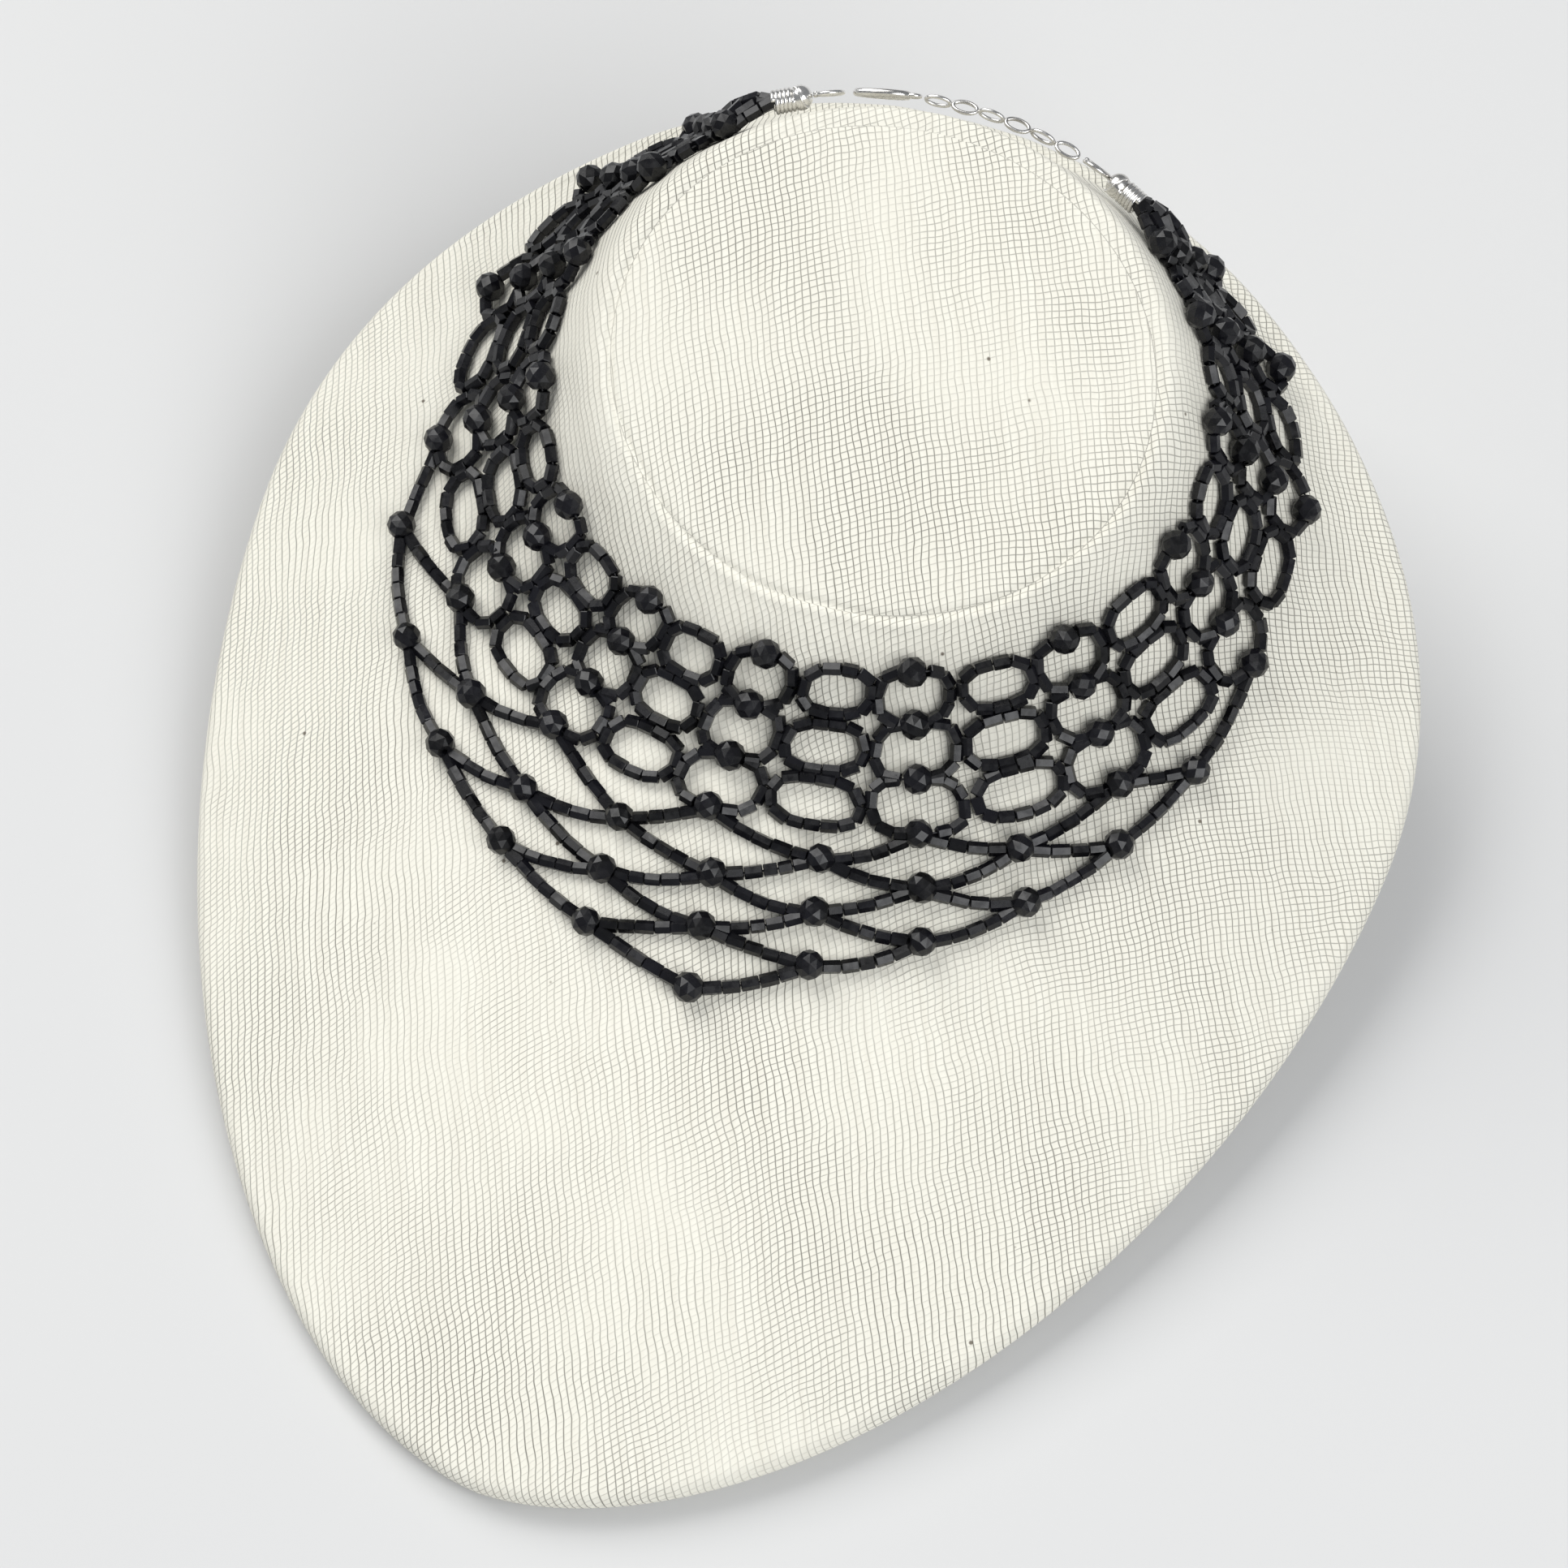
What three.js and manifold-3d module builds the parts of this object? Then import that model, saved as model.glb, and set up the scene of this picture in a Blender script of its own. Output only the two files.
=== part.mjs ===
// A netted bead choker with a pointed bib, on the linen-covered neck bust that holds it.
// Millimetres, +Z up, tip of the bust towards -Y. The bust stands on the floor plane z = 0.
import * as THREE from 'three';
import { mergeVertices } from 'three/addons/utils/BufferGeometryUtils.js';
import Module from 'manifold-3d';

const wasm = await Module();
wasm.setup();

// Bust: a bent board that carries a wide, low neck with a sloping cap.
const BOARD_TILT = 12; // degrees, tip down
const BOARD_THICKNESS = 6;
const CAP_HALF_WIDTH = 51;
const CAP_HALF_DEPTH = 44.5;
const CAP_HEIGHT = 22; // above the board plane, at the middle of the cap
const CAP_TILT = 11; // degrees against the board, front edge low
const CAP_EDGE = 2.5; // rounding of the cap's rim
const CAP_EDGE_RING = { inset: 0.9, drop: 0.8 }; // a ring on that rounding, from the sharp rim
const FLARE = { front: 30, side: 36, back: 15 }; // how far out the neck's wall reaches
const FLARE_RINGS_END = 0.86; // share of the flare that its own rings cover
const BOARD_MARGIN = { top: 4, under: 6 }; // plain border of the board inside its rolled edge
const SHOULDER_DROP = 22; // how far the board bends down at SHOULDER_HALF_WIDTH
const SHOULDER_HALF_WIDTH = 100;
const SHOULDER_POWER = 1.8;
const TIP_DROP = 6;
const NECK_Y = 69.2; // middle of the neck on the board plane
const NECK_Z = 53.4;

// The board's outline is two half ovals that meet where the board is widest, lengthways
// from the middle of the neck: one towards the tip, slightly pointed, and one behind.
const TIP_LENGTH = 198;
const OUTLINE = { back: 55.5, halfWidth: 107.4, widest: 38, tipPower: 1.75, backPower: 2 };
const OUTLINE_STEPS = 40; // halvings when the outline is looked up in one direction

// Foot under the neck end of the board.
const FOOT = { halfWidth: 34, back: 40, front: 62, topInset: 8 };
const PIECE_GAP = 0.3;

// Necklace: strings of hexagonal tube beads with faceted round beads at the crossings.
const STRING_RADIUS = 1.1;
const STRING_SIDES = 4;
const STRING_LIFT = 1.6; // middle of a string above the linen
const BEND_SHIFT = 0.7; // strings that meet at a crossing lie this far to either side of it
const BEAD_RADIUS = 2.5;
const BEAD_LIFT = 2.9;
const BEAD_FACETS = { around: 6, down: 2 };
const BIB_STRING_STEPS = 3;
const NET_TIERS = 4; // beads down each column of the net
const QUARTERS = 4; // crossings lie at quarters of a column
const LAST_QUARTER = 28;
const LAST_BEAD_COLUMN = 6;
const WING_START = 3.5; // column where the wings part from the front of the net

// Columns of the net round the neck, numbered from the middle. They crowd together towards
// the two gathered ends, and the net hangs a little lower on the left.
const NET = {
  lastColumn: 7,
  pitch: 27, // degrees between the columns in the middle
  crowding: 0.14, // times the column cubed
  sideways: 2.5, // degrees that the whole net lies to the right
  middleTurn: 5.5, // how far the middle columns lie to the left of that
  middleWidth: 1.5, // columns over which that fades
  drawIn: 4.5, // degrees less at the last tier, halfway along each side
  start: 6.5, // distance of the first tier from the cap's rim, in the middle
  endDrop: 1.5, // how much lower the first tier is at the gathered ends
  flankDrop: 5, // and halfway along each side
  lean: 3,
  leanWidth: 1,
  depth: 30, // from the first tier to the last
  endDepth: 4, // the same at the gathered ends
  endPower: 5, // how suddenly the net narrows to them
};

// Bib below the net: rows of beads round the neck, each row one bead shorter than the one
// above it, down to a single bead at the point. The left side hangs a little lower.
const BIB = {
  firstTier: 5,
  lastTier: 10,
  pitch: 24, // degrees between the beads of the first row
  drawIn: 0.6, // degrees less in each further row
  sideways: 0.4, // degrees that each further row lies to the right
  start: 42.5, // distance from the cap's rim, in the middle of the first row
  rowStep: 4.6,
  flankDrop: 0.75, // times the column squared
  lean: 3.6, // how much lower the left side hangs, and the right side higher
  leanWidth: 0.6, // columns over which the lean builds up
  pointDrop: 1.5,
};

// Silver fittings behind the neck, on one line round it.
const CLOSURE_DISTANCE = 10;
const CLOSURE_LIFT = 3.2;
const END_CAP = { radius: 2.6, tipRadius: 1.2, length: 7, collar: 3 };
const END_CAP_ROOM = { along: 1.1, across: 1.2 }; // scale of the space kept free round an end cap
const JUMP_RING = { radius: 2.4, wire: 0.5 };
const CLASP = { length: 12, width: 5, thickness: 2.2 };
const CHAIN_RADIUS = 0.9;
const closure = [
  { piece: 'end_cap_left', angle: -142.5 },
  { piece: 'jump_ring_left', angle: -149.5 },
  { piece: 'clasp', angle: -160.5 },
  { piece: 'end_cap_right', angle: 147 },
  { piece: 'jump_ring_right', angle: 154 },
];
const CHAIN_START = 158;
const CHAIN_END = 191.8;
const CHAIN_STEPS = 8;
const CHART_STEP = 0.5; // mm along the linen
const CHART_TURN = 0.01; // radians aside, for the linen's slope round the neck

const LINEN = { color: 0xe8e3d3, roughness: 0.95, metalness: 0 };
const BLACK_GLASS = { color: 0x0b0b0e, roughness: 0.18, metalness: 0 };
const SILVER = { color: 0xc8c8c8, roughness: 0.25, metalness: 1 };

// ---- surface of the bust, in the board's own frame: x across, v towards the tip ----

function insideOutline(across, along) {
  const towardsTip = along > OUTLINE.widest;
  const depth = towardsTip ? TIP_LENGTH - OUTLINE.widest : OUTLINE.back + OUTLINE.widest;
  const power = towardsTip ? OUTLINE.tipPower : OUTLINE.backPower;
  const lengthways = Math.abs(along - OUTLINE.widest) / depth;
  return (Math.abs(across) / OUTLINE.halfWidth) ** power + lengthways ** power < 1;
}

function boardReach(turn) {
  let inside = 0;
  let outside = TIP_LENGTH;
  for (let step = 0; step < OUTLINE_STEPS; step += 1) {
    const middle = (inside + outside) / 2;
    if (insideOutline(middle * Math.sin(turn), middle * Math.cos(turn))) inside = middle;
    else outside = middle;
  }
  return inside;
}

function capReach(turn) {
  return 1 / Math.hypot(Math.sin(turn) / CAP_HALF_WIDTH, Math.cos(turn) / CAP_HALF_DEPTH);
}

function flareReach(turn) {
  const end = Math.cos(turn) > 0 ? FLARE.front : FLARE.back;
  return FLARE.side + (end - FLARE.side) * Math.cos(turn) ** 2;
}

function boardHeight(x, v) {
  const shoulder = SHOULDER_DROP * (Math.abs(x) / SHOULDER_HALF_WIDTH) ** SHOULDER_POWER;
  const tip = v > 0 ? TIP_DROP * (v / TIP_LENGTH) ** 2 : 0;
  return -shoulder - tip;
}

function capHeight(v) {
  return CAP_HEIGHT - Math.tan(THREE.MathUtils.degToRad(CAP_TILT)) * v;
}

function linenHeight(turn, radius) {
  const x = radius * Math.sin(turn);
  const v = radius * Math.cos(turn);
  const rim = capReach(turn);
  const share = Math.max(0, 1 - (radius - rim) / flareReach(turn));
  const rimRise = capHeight(rim * Math.cos(turn)) - boardHeight(rim * Math.sin(turn), rim * Math.cos(turn));
  return boardHeight(x, v) + rimRise * share * share;
}

function linenPoint(turn, radius, height) {
  return new THREE.Vector3(radius * Math.sin(turn), -radius * Math.cos(turn), height);
}

// A point over the linen, at an angle round the neck and a distance down from the cap's rim.
function chartPoint(angle, distance, lift) {
  const turn = THREE.MathUtils.degToRad(angle);
  let radius = capReach(turn);
  let height = linenHeight(turn, radius);
  let left = distance;
  while (left > 0) {
    const nextHeight = linenHeight(turn, radius + CHART_STEP);
    const length = Math.hypot(CHART_STEP, nextHeight - height);
    const share = Math.min(1, left / length);
    radius += CHART_STEP * share;
    height += (nextHeight - height) * share;
    left -= length;
  }
  const here = linenPoint(turn, radius, height);
  const further = linenPoint(turn, radius + CHART_STEP, linenHeight(turn, radius + CHART_STEP));
  const aside = linenPoint(turn + CHART_TURN, radius, linenHeight(turn + CHART_TURN, radius));
  const normal = further.sub(here).cross(aside.sub(here)).normalize();
  return here.addScaledVector(normal, lift);
}

// ---- solids ----

function toSolid(geometry) {
  const bare = geometry.index ? geometry.toNonIndexed() : geometry.clone();
  bare.deleteAttribute('normal');
  bare.deleteAttribute('uv');
  const merged = mergeVertices(bare, 1e-4);
  return new wasm.Manifold(new wasm.Mesh({
    numProp: 3,
    vertProperties: new Float32Array(merged.attributes.position.array),
    triVerts: new Uint32Array(merged.index.array),
  }));
}

function toGeometry(solid) {
  const mesh = solid.getMesh();
  const geometry = new THREE.BufferGeometry();
  geometry.setAttribute('position', new THREE.BufferAttribute(mesh.vertProperties, 3));
  geometry.setIndex(new THREE.BufferAttribute(mesh.triVerts, 1));
  geometry.computeVertexNormals();
  return geometry;
}

function largestPart(solid) {
  return solid.decompose().reduce((best, part) => (part.volume() > best.volume() ? part : best));
}

function namedMesh(name, geometry, finish) {
  const mesh = new THREE.Mesh(geometry, new THREE.MeshStandardMaterial(finish));
  mesh.name = name;
  return mesh;
}

// ---- bust ----

// A lathe whose rings are then laid on the bust's own sections.
function bustGeometry() {
  const flareRings = 6;
  const boardRings = 3;
  const edge = BOARD_THICKNESS / 2;
  const rings = [
    { place: 'under', share: 0 },
    { place: 'under', share: 0.3 },
    { place: 'under', share: 0.6 },
    { place: 'under', share: 1 },
    { place: 'edge', share: 1 },
    { place: 'edge', share: 0.5 },
  ];
  for (let ring = boardRings; ring > 0; ring -= 1) rings.push({ place: 'board', share: ring / boardRings });
  for (let ring = flareRings; ring >= 0; ring -= 1) rings.push({ place: 'flare', share: ring / flareRings });
  rings.push({ place: 'capEdge', share: 0 }, { place: 'cap', share: 1 }, { place: 'cap', share: 0 });
  const profile = rings.map((ring, index) => {
    const onAxis = index === 0 || index === rings.length - 1;
    return new THREE.Vector2(onAxis ? 0 : 1, index);
  });
  const around = 44;
  const geometry = new THREE.LatheGeometry(profile, around);
  const position = geometry.attributes.position;
  for (let index = 0; index < position.count; index += 1) {
    const ring = rings[Math.round(position.getY(index))];
    const onAxis = Math.hypot(position.getX(index), position.getZ(index)) < 0.5;
    const turn = onAxis ? 0 : Math.atan2(position.getX(index), position.getZ(index));
    const rim = capReach(turn);
    const outer = boardReach(turn) - edge;
    const flareEnd = Math.min(rim + flareReach(turn) * FLARE_RINGS_END, outer - BOARD_MARGIN.top);
    let radius = 0;
    let height = 0;
    if (ring.place === 'cap') {
      radius = (rim - CAP_EDGE) * ring.share;
      height = capHeight(radius * Math.cos(turn));
    } else if (ring.place === 'capEdge') {
      radius = rim - CAP_EDGE_RING.inset;
      height = capHeight(radius * Math.cos(turn)) - CAP_EDGE_RING.drop;
    } else if (ring.place === 'flare') {
      const start = rim + CAP_EDGE_RING.inset;
      radius = start + (flareEnd - start) * ring.share;
      height = linenHeight(turn, radius);
    } else if (ring.place === 'board') {
      radius = flareEnd + (outer - flareEnd) * ring.share;
      height = linenHeight(turn, radius);
    } else if (ring.place === 'edge') {
      const swing = Math.PI * ring.share;
      radius = outer + edge * Math.sin(swing);
      height = linenHeight(turn, outer) - edge * (1 - Math.cos(swing));
    } else {
      radius = (outer - BOARD_MARGIN.under) * ring.share;
      height = boardHeight(radius * Math.sin(turn), radius * Math.cos(turn)) - BOARD_THICKNESS;
    }
    const point = linenPoint(turn, onAxis ? 0 : radius, height);
    position.setXYZ(index, point.x, point.y, point.z);
  }
  return geometry;
}

// ---- bead net ----

// A route through given points, one step from each to the next.
class StringRoute extends THREE.Curve {
  constructor(points) {
    super();
    this.points = points;
  }

  getPoint(t) {
    const place = THREE.MathUtils.clamp(t, 0, 1) * (this.points.length - 1);
    const index = Math.min(Math.floor(place), this.points.length - 2);
    return this.points[index].clone().lerp(this.points[index + 1], place - index);
  }

  getPointAt(u) {
    return this.getPoint(u);
  }

  getTangentAt(u) {
    return this.getTangent(u);
  }
}

function stringSolid(points, radius) {
  const section = new THREE.Shape();
  for (let side = 0; side < STRING_SIDES; side += 1) {
    const swing = (2 * Math.PI * side) / STRING_SIDES;
    const corner = [radius * Math.cos(swing), radius * Math.sin(swing)];
    if (side === 0) section.moveTo(...corner);
    else section.lineTo(...corner);
  }
  section.closePath();
  const route = new StringRoute(points);
  return toSolid(new THREE.ExtrudeGeometry(section, { steps: points.length - 1, extrudePath: route }));
}

function beadSolid(point, radius) {
  const facets = new THREE.SphereGeometry(radius, BEAD_FACETS.around, BEAD_FACETS.down);
  facets.translate(point.x, point.y, point.z);
  return toSolid(facets);
}

// Where a column of the net lies at a share of the way from its first tier to its last:
// angle from the tip, and distance down the linen from the cap's rim.
function columnPlace(column, share) {
  const out = column / NET.lastColumn;
  const side = Math.sin(Math.PI * out);
  const middle = Math.exp(-((column / NET.middleWidth) ** 2));
  const angle = NET.pitch * column - NET.crowding * column ** 3 + NET.sideways - NET.middleTurn * middle;
  const lean = (NET.lean * (1 - out ** 2) * column) / Math.hypot(column, NET.leanWidth);
  const first = NET.start + NET.endDrop * out ** 2 + NET.flankDrop * side ** 2 - lean;
  const depth = NET.endDepth + (NET.depth - NET.endDepth) * (1 - Math.abs(out) ** NET.endPower);
  return { angle: angle - NET.drawIn * side * share, distance: first + depth * share };
}

function bibPlace(column, tier) {
  const row = tier - BIB.firstTier;
  const point = tier === BIB.lastTier ? BIB.pointDrop : 0;
  const lean = (BIB.lean * column) / Math.hypot(column, BIB.leanWidth);
  return {
    angle: (BIB.pitch - BIB.drawIn * row) * column + BIB.sideways * row,
    distance: BIB.start + BIB.rowStep * row + BIB.flankDrop * column ** 2 - lean + point,
  };
}

function netPlace(quarter, halfTier, shift) {
  const column = quarter / QUARTERS;
  const place = columnPlace(column, halfTier / (2 * (NET_TIERS - 1)));
  const isBead = quarter % QUARTERS === 0 && halfTier % 2 === 0 && Math.abs(column) <= LAST_BEAD_COLUMN;
  return chartPoint(place.angle, place.distance + (isBead ? 0 : shift), isBead ? BEAD_LIFT : STRING_LIFT);
}

function netSolids(fromQuarter, toQuarter, thicker) {
  const solids = [];
  for (let row = 0; row < 2 * (NET_TIERS - 1); row += 1) {
    const points = [];
    for (let quarter = fromQuarter; quarter <= toQuarter; quarter += 1) {
      const isCrest = (quarter + row) % 2 === 0;
      points.push(netPlace(quarter, isCrest ? row : row + 1, isCrest ? BEND_SHIFT : -BEND_SHIFT));
    }
    solids.push(stringSolid(points, STRING_RADIUS + thicker));
  }
  for (let tier = 0; tier < NET_TIERS; tier += 1) {
    for (let quarter = fromQuarter; quarter <= toQuarter; quarter += 1) {
      const isBead = quarter % QUARTERS === 0 && Math.abs(quarter) <= LAST_BEAD_COLUMN * QUARTERS;
      if (isBead) solids.push(beadSolid(netPlace(quarter, 2 * tier, 0), BEAD_RADIUS + thicker));
    }
  }
  return wasm.Manifold.union(solids);
}

// A string from one bead of the bib to another, laid along the linen.
function bibString(from, to) {
  const points = [];
  for (let step = 0; step <= BIB_STRING_STEPS; step += 1) {
    const share = step / BIB_STRING_STEPS;
    const atEnd = step === 0 || step === BIB_STRING_STEPS;
    const angle = from.angle + (to.angle - from.angle) * share;
    const distance = from.distance + (to.distance - from.distance) * share;
    points.push(chartPoint(angle, distance, atEnd ? BEAD_LIFT : STRING_LIFT));
  }
  return stringSolid(points, STRING_RADIUS);
}

function bibSolid(netFrontGrown) {
  const solids = [];
  for (let tier = BIB.firstTier; tier <= BIB.lastTier; tier += 1) {
    const lastColumn = (BIB.lastTier - tier) / 2;
    for (let column = -lastColumn; column <= lastColumn; column += 1) {
      const bead = bibPlace(column, tier);
      solids.push(beadSolid(chartPoint(bead.angle, bead.distance, BEAD_LIFT), BEAD_RADIUS));
      for (const above of [column - 0.5, column + 0.5]) {
        const isNet = tier === BIB.firstTier;
        solids.push(bibString(isNet ? columnPlace(above, 1) : bibPlace(above, tier - 1), bead));
      }
    }
  }
  return largestPart(wasm.Manifold.union(solids).subtract(netFrontGrown));
}

// ---- silver fittings ----

// Lays a geometry behind the neck: its X runs round the neck, its Z away from the linen.
function layOnClosure(geometry, angle) {
  const here = chartPoint(angle, CLOSURE_DISTANCE, CLOSURE_LIFT);
  const along = chartPoint(angle + 1, CLOSURE_DISTANCE, CLOSURE_LIFT).sub(here).normalize();
  const outward = here.clone().sub(chartPoint(angle, CLOSURE_DISTANCE, 0)).normalize();
  const across = outward.clone().cross(along).normalize();
  const frame = new THREE.Matrix4().makeBasis(along, across, outward).setPosition(here);
  return geometry.applyMatrix4(frame);
}

function endCapGeometry(isLeft) {
  const half = END_CAP.length / 2;
  const profile = [
    new THREE.Vector2(0, -half),
    new THREE.Vector2(END_CAP.tipRadius, -half),
    new THREE.Vector2(END_CAP.radius, half - END_CAP.collar),
    new THREE.Vector2(END_CAP.radius, half),
    new THREE.Vector2(0, half),
  ];
  const geometry = new THREE.LatheGeometry(profile, 12);
  return geometry.rotateZ(isLeft ? -Math.PI / 2 : Math.PI / 2);
}

function claspGeometry() {
  const straight = CLASP.length / 2 - CLASP.width / 2;
  const outline = new THREE.Shape();
  outline.absarc(straight, 0, CLASP.width / 2, -Math.PI / 2, Math.PI / 2, false);
  outline.absarc(-straight, 0, CLASP.width / 2, Math.PI / 2, 1.5 * Math.PI, false);
  const options = { depth: CLASP.thickness, bevelEnabled: false, curveSegments: 6 };
  return new THREE.ExtrudeGeometry(outline, options).translate(0, 0, -CLASP.thickness / 2);
}

function chainSolid() {
  const points = [];
  for (let step = 0; step <= CHAIN_STEPS; step += 1) {
    const angle = CHAIN_START + ((CHAIN_END - CHAIN_START) * step) / CHAIN_STEPS;
    points.push(chartPoint(angle, CLOSURE_DISTANCE, CLOSURE_LIFT));
  }
  return stringSolid(points, CHAIN_RADIUS);
}

function fittingGeometry(piece) {
  if (piece.startsWith('end_cap')) return endCapGeometry(piece.endsWith('left'));
  if (piece.startsWith('jump_ring')) return new THREE.TorusGeometry(JUMP_RING.radius, JUMP_RING.wire, 6, 14);
  return claspGeometry();
}

// ---- assembly ----

const assembly = new THREE.Group();
const board = new THREE.Group();
board.rotation.x = THREE.MathUtils.degToRad(BOARD_TILT);
board.position.set(0, NECK_Y, NECK_Z);
board.updateMatrixWorld();
assembly.add(board);

const bustShape = bustGeometry();
board.add(namedMesh('bust_form', toGeometry(toSolid(bustShape)), LINEN));

// The foot is a straight block cut off by the underside of the board.
function footSolid() {
  const outline = new THREE.Shape();
  outline.moveTo(-FOOT.front, 0);
  outline.lineTo(FOOT.back, 0);
  outline.lineTo(FOOT.back - FOOT.topInset, NECK_Z);
  outline.lineTo(FOOT.topInset - FOOT.front, NECK_Z);
  outline.closePath();
  const options = { depth: 2 * FOOT.halfWidth, bevelEnabled: false };
  const block = new THREE.ExtrudeGeometry(outline, options);
  block.translate(0, 0, -FOOT.halfWidth);
  block.applyMatrix4(new THREE.Matrix4().makeBasis(
    new THREE.Vector3(0, 1, 0),
    new THREE.Vector3(0, 0, 1),
    new THREE.Vector3(1, 0, 0),
  ));
  block.translate(0, NECK_Y, 0);
  const cutter = bustShape.clone().applyMatrix4(board.matrixWorld).translate(0, 0, -PIECE_GAP);
  return largestPart(toSolid(block).subtract(toSolid(cutter)));
}
assembly.add(namedMesh('display_foot', toGeometry(footSolid()), LINEN));

for (const { piece, angle } of closure) {
  board.add(namedMesh(piece, toGeometry(toSolid(layOnClosure(fittingGeometry(piece), angle))), SILVER));
}
board.add(namedMesh('closure_chain', toGeometry(chainSolid()), SILVER));

const WING_QUARTER = WING_START * QUARTERS;
const netFront = netSolids(-WING_QUARTER, WING_QUARTER, 0);
const netFrontGrown = netSolids(-WING_QUARTER, WING_QUARTER, PIECE_GAP);
board.add(namedMesh('net_front', toGeometry(largestPart(netFront)), BLACK_GLASS));
board.add(namedMesh('bib_front', toGeometry(bibSolid(netFrontGrown)), BLACK_GLASS));

// Each wing stops short of the front net and of its end cap.
function wingSolid(side) {
  const isLeft = side < 0;
  const from = isLeft ? -LAST_QUARTER : WING_QUARTER;
  const to = isLeft ? -WING_QUARTER : LAST_QUARTER;
  const cap = closure.find((row) => row.piece === (isLeft ? 'end_cap_left' : 'end_cap_right'));
  const room = endCapGeometry(isLeft).scale(END_CAP_ROOM.along, END_CAP_ROOM.across, END_CAP_ROOM.across);
  const capRoom = toSolid(layOnClosure(room, cap.angle));
  return largestPart(netSolids(from, to, 0).subtract(netFrontGrown).subtract(capRoom));
}
board.add(namedMesh('net_left_wing', toGeometry(wingSolid(-1)), BLACK_GLASS));
board.add(namedMesh('net_right_wing', toGeometry(wingSolid(1)), BLACK_GLASS));

export default assembly;
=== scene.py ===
import math
import random

import bpy
import numpy as np
from mathutils import Matrix, Vector


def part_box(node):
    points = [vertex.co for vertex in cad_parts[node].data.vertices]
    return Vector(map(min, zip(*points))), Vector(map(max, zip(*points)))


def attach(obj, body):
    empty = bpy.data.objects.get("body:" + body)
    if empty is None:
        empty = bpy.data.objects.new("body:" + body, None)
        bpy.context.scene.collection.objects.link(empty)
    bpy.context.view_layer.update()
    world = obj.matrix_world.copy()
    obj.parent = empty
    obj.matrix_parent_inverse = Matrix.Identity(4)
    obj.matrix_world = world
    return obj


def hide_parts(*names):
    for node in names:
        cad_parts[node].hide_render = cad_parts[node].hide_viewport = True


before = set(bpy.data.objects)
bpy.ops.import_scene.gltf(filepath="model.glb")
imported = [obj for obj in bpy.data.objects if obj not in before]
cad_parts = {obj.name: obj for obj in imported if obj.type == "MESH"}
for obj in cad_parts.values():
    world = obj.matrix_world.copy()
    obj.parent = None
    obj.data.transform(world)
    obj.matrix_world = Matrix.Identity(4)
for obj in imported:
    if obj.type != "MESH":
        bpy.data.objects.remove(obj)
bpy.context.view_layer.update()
mm = 0.001
rng = random.Random(7)

bust = {
    "tilt": 12.0,  # degrees, tip down
    "neckBack": 53.5,  # middle of the neck in from the back edge, mm like all sizes here
    "neckTop": 38.24,  # board plane at the neck below the cap's highest point
    "thickness": 6.0,
    "capHalfWidth": 51.0,
    "capHalfDepth": 44.5,
    "capHeight": 22.0,
    "capTilt": 11.0,
    "flareFront": 30.0,
    "flareSide": 36.0,
    "flareBack": 15.0,
    "shoulderDrop": 22.0,
    "shoulderHalfWidth": 100.0,
    "shoulderPower": 1.8,
    "tipDrop": 6.0,
    "tipLength": 198.0,
    "outlineBack": 55.5,
    "halfWidth": 107.4,
    "widest": 38.0,  # from the middle of the neck towards the tip
    "tipPower": 1.75,  # 2 is an oval, less is more pointed
    "backPower": 2.0,
    "outlineSteps": 40,  # halvings when the outline is looked up in one direction
}


def insideOutline(across, along):
    tipSide = along > bust["widest"]
    depth = bust["tipLength"] - bust["widest"] if tipSide else bust["outlineBack"] + bust["widest"]
    power = bust["tipPower"] if tipSide else bust["backPower"]
    return (abs(across) / bust["halfWidth"]) ** power + (abs(along - bust["widest"]) / depth) ** power < 1


def outlineReach(turn):
    inside, outside = 0.0, bust["tipLength"]
    for _ in range(bust["outlineSteps"]):
        middle = (inside + outside) / 2
        if insideOutline(middle * math.sin(turn), middle * math.cos(turn)):
            inside = middle
        else:
            outside = middle
    return inside


def boardHeight(x, v):
    shoulder = bust["shoulderDrop"] * (np.abs(x) / bust["shoulderHalfWidth"]) ** bust["shoulderPower"]
    return -shoulder - bust["tipDrop"] * (np.maximum(v, 0) / bust["tipLength"]) ** 2


def capPlane(v):
    return bust["capHeight"] - math.tan(math.radians(bust["capTilt"])) * v


def capReach(turn):
    return 1 / np.hypot(np.sin(turn) / bust["capHalfWidth"], np.cos(turn) / bust["capHalfDepth"])


def flareReach(turn):
    end = np.where(np.cos(turn) > 0, bust["flareFront"], bust["flareBack"])
    return bust["flareSide"] + (end - bust["flareSide"]) * np.cos(turn) ** 2


def linenHeight(turn, radius):
    rim = capReach(turn)
    share = np.clip(1 - (radius - rim) / flareReach(turn), 0, 1)
    rise = capPlane(rim * np.cos(turn)) - boardHeight(rim * np.sin(turn), rim * np.cos(turn))
    return boardHeight(radius * np.sin(turn), radius * np.cos(turn)) + rise * share**2


bustLow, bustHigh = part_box("bust_form")
neckOrigin = np.array([
    (bustLow.x + bustHigh.x) / 2 / mm,
    bustHigh.y / mm - bust["neckBack"],
    bustHigh.z / mm - bust["neckTop"],
])
tiltSin, tiltCos = math.sin(math.radians(bust["tilt"])), math.cos(math.radians(bust["tilt"]))
boardTurn = np.array([[1, 0, 0], [0, tiltCos, -tiltSin], [0, tiltSin, tiltCos]])


def toWorld(points):  # board frame to row frame, both in mm
    return np.asarray(points) @ boardTurn.T + neckOrigin


def polar(turn, radius, height):
    return np.stack([radius * np.sin(turn), -radius * np.cos(turn), height], axis=-1)


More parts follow.
